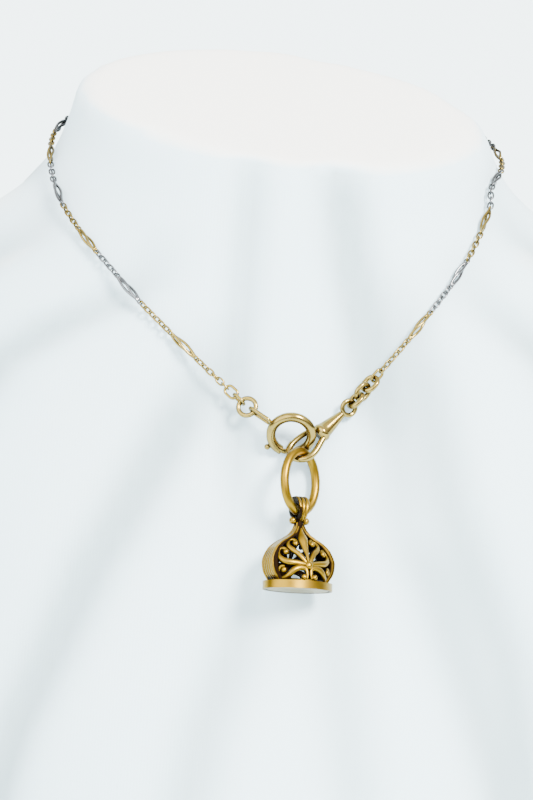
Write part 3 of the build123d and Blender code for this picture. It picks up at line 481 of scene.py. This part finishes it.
def baked(piece, name):
    """The mesh with the object's modifiers applied."""
    depsgraph = bpy.context.evaluated_depsgraph_get()
    mesh = bpy.data.meshes.new_from_object(piece.evaluated_get(depsgraph))
    mesh.name = name
    return mesh


def smoothed(bm, levels):
    """The bmesh after rounds of subdivision surface."""
    mesh = bpy.data.meshes.new("round")
    bm.to_mesh(mesh)
    bm.free()
    holder = bpy.data.objects.new("round", mesh)
    bpy.context.collection.objects.link(holder)
    modifier = holder.modifiers.new("round", "SUBSURF")
    modifier.levels = levels
    modifier.render_levels = levels
    result = bmesh.new()
    done = baked(holder, "rounded")
    result.from_mesh(done)
    bpy.data.objects.remove(holder)
    bpy.data.meshes.remove(mesh)
    bpy.data.meshes.remove(done)
    return result


def rounded_links(name):
    """A chain node with its flat-sided wire filled out and rounded."""
    bm = node_copy(name)
    bmesh.ops.join_triangles(
        bm, faces=bm.faces, angle_face_threshold=0.01, angle_shape_threshold=3.0)
    return filled_and_shaded(smoothed(filled_and_shaded(bm, sizes().wire_fullness), 1))


def angle_round(co):
    return math.degrees(math.atan2(co.x, -(co.y - NECK_AXIS_Y)))


def valley_depth(co, angle, reach):
    """How far the cloth sinks at a point, in metres."""
    height = co.z / MM
    depth = 0
    for line, deepest, half_width in VALLEYS:
        top = line[0][1] + VALLEY_EASE
        foot = line[-1][1] - VALLEY_EASE
        if height > top or height < foot:
            continue
        where = line[0][0]
        for (start, high), (end, low) in zip(line[:-1], line[1:]):
            if high >= height >= low:
                where = start + (end - start) * (high - height) / (high - low)
            elif height < low:
                where = end
        away = (angle - where + 180) % 360 - 180
        across = math.radians(away) * reach / MM / half_width
        if abs(across) > 3:
            continue
        ends = min(1, (top - height) / (2 * VALLEY_EASE), (height - foot) / (2 * VALLEY_EASE))
        depth += deepest * math.exp(-across * across) * max(0, ends)
    return depth * MM


# Seal

def seal_frame():
    """From the seal's millimetres to the scene, found from its flat oval plate."""
    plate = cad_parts["seal_face"].data
    points = numpy.array([tuple(vert.co) for vert in plate.vertices])
    middle = Vector(points.mean(axis=0))
    ways = numpy.linalg.svd(points - points.mean(axis=0), full_matrices=False)[2]
    across, up = Vector(ways[0]), Vector(ways[2])
    low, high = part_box("seal_mount")
    if up.dot((Vector(low) + Vector(high)) / 2 - middle) < 0:
        up = -up
    if across.x < 0:
        across = -across
    foot = middle - up * PLATE_RISE * MM
    turn = Matrix((across, up.cross(across), up)).transposed().to_4x4()
    return Matrix.Translation(foot) @ turn @ Matrix.Scale(MM, 4)


def section_value(column, share):
    """A column of the seal's sections at a height, eased between its rows."""
    rows = SEAL_SECTIONS
    share = min(max(share, rows[0][0]), rows[-1][0])
    for index in range(len(rows) - 1):
        if share <= rows[index + 1][0]:
            break
    near = [rows[min(max(index + step, 0), len(rows) - 1)] for step in (-1, 0, 1, 2)]
    part = (share - near[1][0]) / (near[2][0] - near[1][0])
    return smooth_step([row[column] for row in near], part)


def smooth_step(values, part):
    """Catmull-Rom between the middle two of four values."""
    before, start, end, after = values
    return 0.5 * (2 * start + (end - before) * part + (2 * before - 5 * start + 4 * end - after) * part ** 2
                  + (3 * start - before - 3 * end + after) * part ** 3)


def smooth_line(rows, steps):
    """More points on a smooth curve through the rows."""
    line = []
    last = len(rows) - 1
    for index in range(last):
        near = [rows[min(max(index + step, 0), last)] for step in (-1, 0, 1, 2)]
        for step in range(steps):
            line.append(tuple(smooth_step(values, step / steps) for values in zip(*near)))
    line.append(tuple(rows[last]))
    return line


def dome_point(x, z, facing):
    """A point of the dome's outer face, front with facing -1 and back with +1."""
    half_width = section_value(1, z / DOME_HEIGHT) * DOME_WIDTH / 2 - DOME_INSET
    half_depth = section_value(2, z / DOME_HEIGHT) * DOME_DEPTH / 2
    return Vector((x, facing * half_depth * math.sqrt(max(0.1, 1 - (x / half_width) ** 2)), z))


def dome_normal(x, z, facing):
    step = 0.2
    across = dome_point(x + step, z, facing) - dome_point(x - step, z, facing)
    up = dome_point(x, z + step, facing) - dome_point(x, z - step, facing)
    normal = across.cross(up).normalized()
    return normal if normal.y * facing > 0 else -normal


def sweep(bm, stations, sides, closed=False, square=1.0, dark=None):
    """A bar through stations of middle, side way, out way, half-width and half-height. It is squarer
    with a smaller square, and its underside gets painted shade unless dark gives one shade for all of it."""
    turn = bm.verts.layers.float["turn"]
    recess = bm.verts.layers.float["recess"]

    def settle(verts, station):
        middle, side, out, half_width, half_height = station
        for vert in verts:
            across, up = math.cos(vert[turn]), math.sin(vert[turn])
            # Painted shade: darkest on the underside, toward the surface the bar lies on
            vert[recess] = min(1, max(0, 0.62 - 1.05 * up)) if dark is None else dark
            across = math.copysign(abs(across) ** square, across)
            up = math.copysign(abs(up) ** square, up)
            vert.co = middle + side * (half_width * across) + out * (half_height * up)

    ring = bmesh.ops.create_circle(bm, cap_ends=False, segments=sides, radius=1)["verts"]
    for number, vert in enumerate(ring):
        vert[turn] = 2 * math.pi * number / sides
    settle(ring, stations[0])
    first = list({edge for vert in ring for edge in vert.link_edges})
    edges = first
    for station in stations[1:]:
        grown = bmesh.ops.extrude_edge_only(bm, edges=edges)["geom"]
        settle([item for item in grown if isinstance(item, bmesh.types.BMVert)], station)
        edges = [item for item in grown if isinstance(item, bmesh.types.BMEdge)]
    if closed:
        bmesh.ops.bridge_loops(bm, edges=first + edges)
    else:
        bmesh.ops.contextual_create(bm, geom=first)
        bmesh.ops.contextual_create(bm, geom=edges)


def stroke(bm, line, widths, mirror, facing):
    """One rounded stroke of the palmette, lying on the cast dome."""
    rows = smooth_line([(across, up, width) for (across, up), width in zip(line, widths)], 4)
    points = [(mirror * across * DOME_WIDTH / 2, up * DOME_HEIGHT, width) for across, up, width in rows]
    crest = []
    for index, (x, z, width) in enumerate(points):
        after = points[min(index + 1, len(points) - 1)]
        before = points[max(index - 1, 0)]
        middle = dome_point(x, z, facing)
        out = dome_normal(x, z, facing)
        along = dome_point(after[0], after[1], facing) - dome_point(before[0], before[1], facing)
        side = along.cross(out).normalized()
        crest.append((middle - out * 0.1 * width, side, out, width / 2, width * 0.42))
    sweep(bm, crest, 14)


def ball(bm, middle, width, squash_way=None, squash=1.0):
    """A bead, flattened along one way if it is given, with painted shade round its foot."""
    made = bmesh.ops.create_uvsphere(bm, u_segments=18, v_segments=12, radius=width / 2)["verts"]
    recess = bm.verts.layers.float["recess"]
    for vert in made:
        if squash_way:
            vert.co -= squash_way * vert.co.dot(squash_way) * (1 - squash)
            # Painted shade where the bead sits on the surface under it
            vert[recess] = min(1, max(0, -0.1 - 2 * vert.co.dot(squash_way) / width))
        vert.co += middle


def palmette(bm, facing):
    for mirror in (1, -1):
        for line, widths in STROKES:
            stroke(bm, line, widths, mirror, facing)
        for across, up, width in CURL_BALLS:
            x, z = mirror * across * DOME_WIDTH / 2, up * DOME_HEIGHT
            out = dome_normal(x, z, facing)
            ball(bm, dome_point(x, z, facing) + out * 0.1, width, out, 0.85)
    x, z = 0, BOSS[0] * DOME_HEIGHT
    out = dome_normal(x, z, facing)
    ball(bm, dome_point(x, z, facing) + out * 0.25, BOSS[1], out, 0.7)
    stations = []
    for up, width in smooth_line(LEAF_LINE, 4):
        z = up * DOME_HEIGHT
        out = dome_normal(0, z, facing)
        stations.append((dome_point(0, z, facing) + out * 0.05, Vector((1, 0, 0)), out, width / 2,
                         0.28 + 0.22 * width))
    sweep(bm, stations, 8)


def outline_point(share, inset):
    return Vector((section_value(1, share) * DOME_WIDTH / 2 - inset, 0, share * DOME_HEIGHT))


def side_band(bm, mirror):
    """The band from rim to neck, with rounded ridges that run up its outer face."""
    flip = Vector((mirror, 1, 1))
    lanes = [(0, 1.0, BAND_WALL / 2, BAND_WALL / 2, 0.45, None)]
    for place in BAND_RIDGES:
        edge = abs(place) > 0.8
        lanes.append((place, 0.16 if edge else 0.15, 0.34 if edge else 0.2, 0.0, 1.0, None))
    for place, half_width_share, half_height, inset, square, dark in lanes:
        stations = []
        for step in range(BAND_STEPS + 1):
            share = BAND_FOOT + (1.0 - BAND_FOOT) * step / BAND_STEPS
            middle = outline_point(share, inset)
            ahead = outline_point(min(share + 0.01, 1.05), inset) - outline_point(share - 0.01, inset)
            out = Vector((ahead.z, 0, -ahead.x)).normalized()
            half_depth = section_value(3, share) * BAND_DEPTH / 2
            middle.y = place * half_depth
            thin = 1 - 0.45 * max(0, share - 0.6) / 0.4
            stations.append((middle * flip, Vector((0, 1, 0)), out * flip,
                             half_depth * half_width_share, half_height * thin))
        sweep(bm, stations, 16 if place == 0 else 10, square=square, dark=dark)


def bail_stations(lane, lift, half_width_share, half_height):
    """Round the bail's upright oval, wide at its crown and drawn together at its foot."""
    middle = Vector((0, 0, (BAIL_FOOT + BAIL_TOP) / 2))
    rise = (BAIL_TOP - BAIL_FOOT) / 2
    stations = []
    for step in range(BAIL_STEPS):
        angle = 2 * math.pi * step / BAIL_STEPS
        out = Vector((0, math.cos(angle) * rise, math.sin(angle) * BAIL_DEPTH / 2)).normalized()
        point = middle + Vector((0, math.cos(angle) * BAIL_DEPTH / 2, math.sin(angle) * rise)) - out * lift
        share = min(1, max(0, (point.z - BAIL_FOOT) / (BAIL_TOP - BAIL_CROWN - BAIL_FOOT)))
        width = BAIL_WIDTHS[0] + (BAIL_WIDTHS[1] - BAIL_WIDTHS[0]) * share
        point.x = lane * width * 0.33
        thick = half_height * (1 + 0.7 * max(0, math.sin(angle)))
        stations.append((point, Vector((1, 0, 0)), out, width * half_width_share, thick))
    return stations


def bail(bm):
    """A strap over the oval ring with three rounded ribs."""
    # The strap under the ribs is painted in even shade
    sweep(bm, bail_stations(0, 0.55, 0.46, 0.36), 16, closed=True, square=0.5, dark=0.9)
    for lane in (-1, 0, 1):
        sweep(bm, bail_stations(lane, 0.24, 0.165, 0.22), 10, closed=True)


def neck(bm):
    """A short stem between the bands' heads and the bail, painted in even shade, with a bead on each side.
    """
    across, back = Vector((1, 0, 0)), Vector((0, 1, 0))
    stations = [(Vector((0, 0, height)), across, back, half_width, half_width)
                for height, half_width in NECK_STEM]
    sweep(bm, stations, 12, dark=0.7)
    reach, height, width = NECK_BALLS
    for mirror in (-1, 1):
        ball(bm, Vector((mirror * reach, 0, height)), width)


def sculpted_seal():
    """The cast mount, its core under the raised work painted dark as shade, with raised bands, palmettes,
    neck and bail on it.
    """
    place = seal_frame()
    bm = node_copy("seal_mount")
    bm.verts.layers.float.new("turn")
    recess = bm.verts.layers.float.new("recess")
    bmesh.ops.transform(bm, matrix=place.inverted(), verts=bm.verts)
    bm.normal_update()
    shifts = [(vert, vert.normal * CORE_INSET) for vert in bm.verts]
    for vert, shift in shifts:
        vert.co -= shift
        within = math.hypot(2 * vert.co.x / DOME_WIDTH, 2 * vert.co.y / DOME_DEPTH) < 0.97
        # Painted shade over the whole core, all but the outer foot of the rim
        vert[recess] = 0.0 if vert.co.z < RIM_HEIGHT and not within else 1.0
    for facing in (-1, 1):
        palmette(bm, facing)
    for mirror in (-1, 1):
        side_band(bm, mirror)
    neck(bm)
    bail(bm)
    bmesh.ops.transform(bm, matrix=place, verts=bm.verts)
    bmesh.ops.recalc_face_normals(bm, faces=bm.faces)
    return bm


class FOB_OT_cloth_bust(bpy.types.Operator):
    """Covers the bust with jersey that falls in soft folds"""
    bl_idname = "fob.cloth_bust"
    bl_label = "Cloth bust"

    def execute(self, context):
        bm = node_copy("neck_bust")
        mesh = bpy.data.meshes.new("cover")
        bm.to_mesh(mesh)
        bm.free()
        holder = bpy.data.objects.new("cover", mesh)
        context.collection.objects.link(holder)
        remesh = holder.modifiers.new("even", "REMESH")
        remesh.mode = "VOXEL"
        remesh.voxel_size = sizes().cloth_mesh
        even = baked(holder, "even")
        bpy.data.objects.remove(holder)
        bm = bmesh.new()
        bm.from_mesh(even)
        bpy.data.meshes.remove(even)
        bpy.data.meshes.remove(mesh)
        bmesh.ops.smooth_vert(bm, verts=bm.verts, factor=0.5,
                              use_axis_x=True, use_axis_y=True, use_axis_z=True)
        bm.normal_update()
        strength = sizes().fold_strength
        shade = bm.verts.layers.float.new("fold_shade")
        for vert in bm.verts:
            reach = math.hypot(vert.co.x, vert.co.y - NECK_AXIS_Y)
            if vert.co.z > LOWEST_FOLD and abs(vert.normal.z) < LEVEL_CLOTH:
                sink = valley_depth(vert.co, angle_round(vert.co), reach) * strength
                vert.co -= vert.normal * sink
                # Painted shade, darker the deeper the cloth sank here
                vert[shade] = min(1, sink / DEEP_FOLD)
        for vert in bm.verts:
            vert.co.z = max(vert.co.z, 0)
        bm = smoothed(bm, 1)
        add_piece("bust_cloth", bm, cloth(), "stand", ["neck_bust"], crease=60)
        return {"FINISHED"}


class FOB_OT_fine_chain(bpy.types.Operator):
    """Rounds the small and cage links of both metals"""
    bl_idname = "fob.fine_chain"
    bl_label = "Fine chain"

    def execute(self, context):
        add_piece("fine_chain_gold", rounded_links("chain_gold"), chain_gold(), "stand",
                  ["chain_gold"], crease=70)
        add_piece("fine_chain_white", rounded_links("chain_white"), white_metal(), "stand",
                  ["chain_white"], crease=70)
        return {"FINISHED"}


class FOB_OT_end_links(bpy.types.Operator):
    """Finishes the stout links and rings between the chain and its clasps"""
    bl_idname = "fob.end_links"
    bl_label = "End links and rings"

    def execute(self, context):
        for name in ("end_ring", "end_link_1", "end_link_2", "big_link_1", "big_link_2", "big_link_3",
                     "medium_link", "swivel_eye"):
            link = filled_and_shaded(node_copy(name), sizes().clasp_fullness)
            add_piece("worn_" + name, link, chain_gold(), "stand", [name])
        return {"FINISHED"}


class FOB_OT_clasps(bpy.types.Operator):
    """Finishes the bolt ring with its bolt and the swivel clip with its gate"""
    bl_idname = "fob.clasps"
    bl_label = "Bolt ring and swivel clip"

    def execute(self, context):
        for name, body in (("bolt_ring", "stand"), ("bolt_trigger", "bolt"), ("swivel_hook", "stand"),
                           ("swivel_gate", "gate")):
            part = filled_and_shaded(node_copy(name), sizes().clasp_fullness)
            add_piece("worn_" + name, part, chain_gold(), body, [name])
        return {"FINISHED"}


class FOB_OT_oval_ring(bpy.types.Operator):
    """Finishes the stout oval ring that carries the seal"""
    bl_idname = "fob.oval_ring"
    bl_label = "Oval ring"

    def execute(self, context):
        ring = filled_and_shaded(node_copy("oval_ring"))
        add_piece("worn_oval_ring", ring, fob_gold(), "stand", ["oval_ring"])
        return {"FINISHED"}


class FOB_OT_seal(bpy.types.Operator):
    """Sculpts the pierced seal with its bail and plain plate"""
    bl_idname = "fob.seal"
    bl_label = "Seal"

    def execute(self, context):
        add_piece("worn_seal", sculpted_seal(), fob_gold(), "stand", ["seal_mount"], crease=50)
        add_piece("worn_seal_plate", node_copy("seal_face"), plate_gold(), "stand",
                  ["seal_face"])
        return {"FINISHED"}


class FOB_OT_stage(bpy.types.Operator):
    """Sets the floor, the soft light and the camera"""
    bl_idname = "fob.stage"
    bl_label = "Stage"

    def execute(self, context):
        bm = bmesh.new()
        bmesh.ops.create_grid(bm, x_segments=8, y_segments=8, size=FLOOR_SIZE)
        mesh = bpy.data.meshes.new("floor")
        bm.to_mesh(mesh)
        bm.free()
        material = bpy.data.materials.new("Pale floor")
        material.use_nodes = True
        shader = material.node_tree.nodes["Principled BSDF"]
        shader.inputs["Base Color"].default_value = FLOOR_COLOUR
        shader.inputs["Roughness"].default_value = 0.9
        mesh.materials.append(material)
        floor = bpy.data.objects.new("floor", mesh)
        context.collection.objects.link(floor)
        world = bpy.data.worlds.new("Soft room")
        context.scene.world = world
        world.use_nodes = True
        nodes, links = world.node_tree.nodes, world.node_tree.links
        place = nodes.new("ShaderNodeTexCoord")
        split = nodes.new("ShaderNodeSeparateXYZ")
        links.new(place.outputs["Generated"], split.inputs["Vector"])
        ramp = nodes.new("ShaderNodeValToRGB")
        for stop, (position, colour) in zip(ramp.color_ramp.elements, (ROOM_LOW, ROOM_HIGH)):
            stop.position = position
            stop.color = colour
        lift = nodes.new("ShaderNodeMath")
        lift.operation = "MULTIPLY_ADD"
        lift.inputs[1].default_value = 0.5
        lift.inputs[2].default_value = 0.5
        links.new(split.outputs["Z"], lift.inputs[0])
        links.new(lift.outputs[0], ramp.inputs["Fac"])
        links.new(ramp.outputs["Color"], nodes["Background"].inputs["Color"])
        nodes["Background"].inputs["Strength"].default_value = ROOM_STRENGTH
        for name, place, softness, power, colour in SUNS:
            add_sun(name, place, softness, power, colour)
        add_window()
        add_camera(context)
        return {"FINISHED"}


def add_sun(name, place, softness, power, colour):
    lamp = bpy.data.lights.new(name, "SUN")
    lamp.angle = math.radians(softness)
    lamp.energy = power
    lamp.color = colour
    light = bpy.data.objects.new(name, lamp)
    light.rotation_euler = Vector(place).to_track_quat("Z", "Y").to_euler()
    bpy.context.collection.objects.link(light)


def add_window():
    """A small bright patch that gives the metal its sharp highlights."""
    lamp = bpy.data.lights.new("Window", "AREA")
    lamp.size = WINDOW_SIZE
    lamp.energy = WINDOW_POWER
    light = bpy.data.objects.new("Window", lamp)
    light.location = WINDOW_PLACE
    aim = Vector((0, -0.06, 0.14)) - Vector(WINDOW_PLACE)
    light.rotation_euler = aim.to_track_quat("-Z", "Y").to_euler()
    bpy.context.collection.objects.link(light)


def add_camera(context):
    """In front of the bust, looking down at the clasps and turned a little about its own line of sight."""
    target = Vector(CAMERA_TARGET)
    rise = math.radians(CAMERA_RISE)
    roll = math.radians(CAMERA_ROLL)
    away = Vector((0, -math.cos(rise), math.sin(rise)))
    right = Vector((1, 0, 0))
    up = away.cross(right)
    across = right * math.cos(roll) + up * math.sin(roll)
    upright = up * math.cos(roll) - right * math.sin(roll)
    camera = bpy.data.objects.new("Camera", bpy.data.cameras.new("Camera"))
    turn = Matrix((across, upright, away)).transposed().to_4x4()
    camera.matrix_world = Matrix.Translation(target + away * CAMERA_DISTANCE) @ turn
    camera.data.sensor_fit = "VERTICAL"
    camera.data.angle = math.radians(CAMERA_VIEW)
    camera.data.clip_start = 0.01
    context.collection.objects.link(camera)
    context.scene.camera = camera


class FOB_PT_panel(bpy.types.Panel):
    """Lists the pieces and their settings"""
    bl_idname = "FOB_PT_panel"
    bl_label = "Seal fob"
    bl_space_type = "VIEW_3D"
    bl_region_type = "UI"
    bl_category = "Seal fob"

    def draw(self, context):
        for operator in OPERATORS:
            self.layout.operator(operator.bl_idname)
        for group in (context.scene.fob_sizes, context.scene.fob_colours):
            for name in group.bl_rna.properties.keys():
                if name not in ("rna_type", "name"):
                    self.layout.prop(group, name)


OPERATORS = (
    FOB_OT_cloth_bust,
    FOB_OT_fine_chain,
    FOB_OT_end_links,
    FOB_OT_clasps,
    FOB_OT_oval_ring,
    FOB_OT_seal,
    FOB_OT_stage,
)
CLASSES = (FobSizes, FobColours) + OPERATORS + (FOB_PT_panel,)


def register():
    for item in CLASSES:
        bpy.utils.register_class(item)
    bpy.types.Scene.fob_sizes = bpy.props.PointerProperty(type=FobSizes)
    bpy.types.Scene.fob_colours = bpy.props.PointerProperty(type=FobColours)


def unregister():
    del bpy.types.Scene.fob_colours
    del bpy.types.Scene.fob_sizes
    for item in reversed(CLASSES):
        bpy.utils.unregister_class(item)


def main():
    register()
    for operator in OPERATORS:
        group, name = operator.bl_idname.split(".")
        getattr(getattr(bpy.ops, group), name)()


if __name__ == "__main__":
    main()
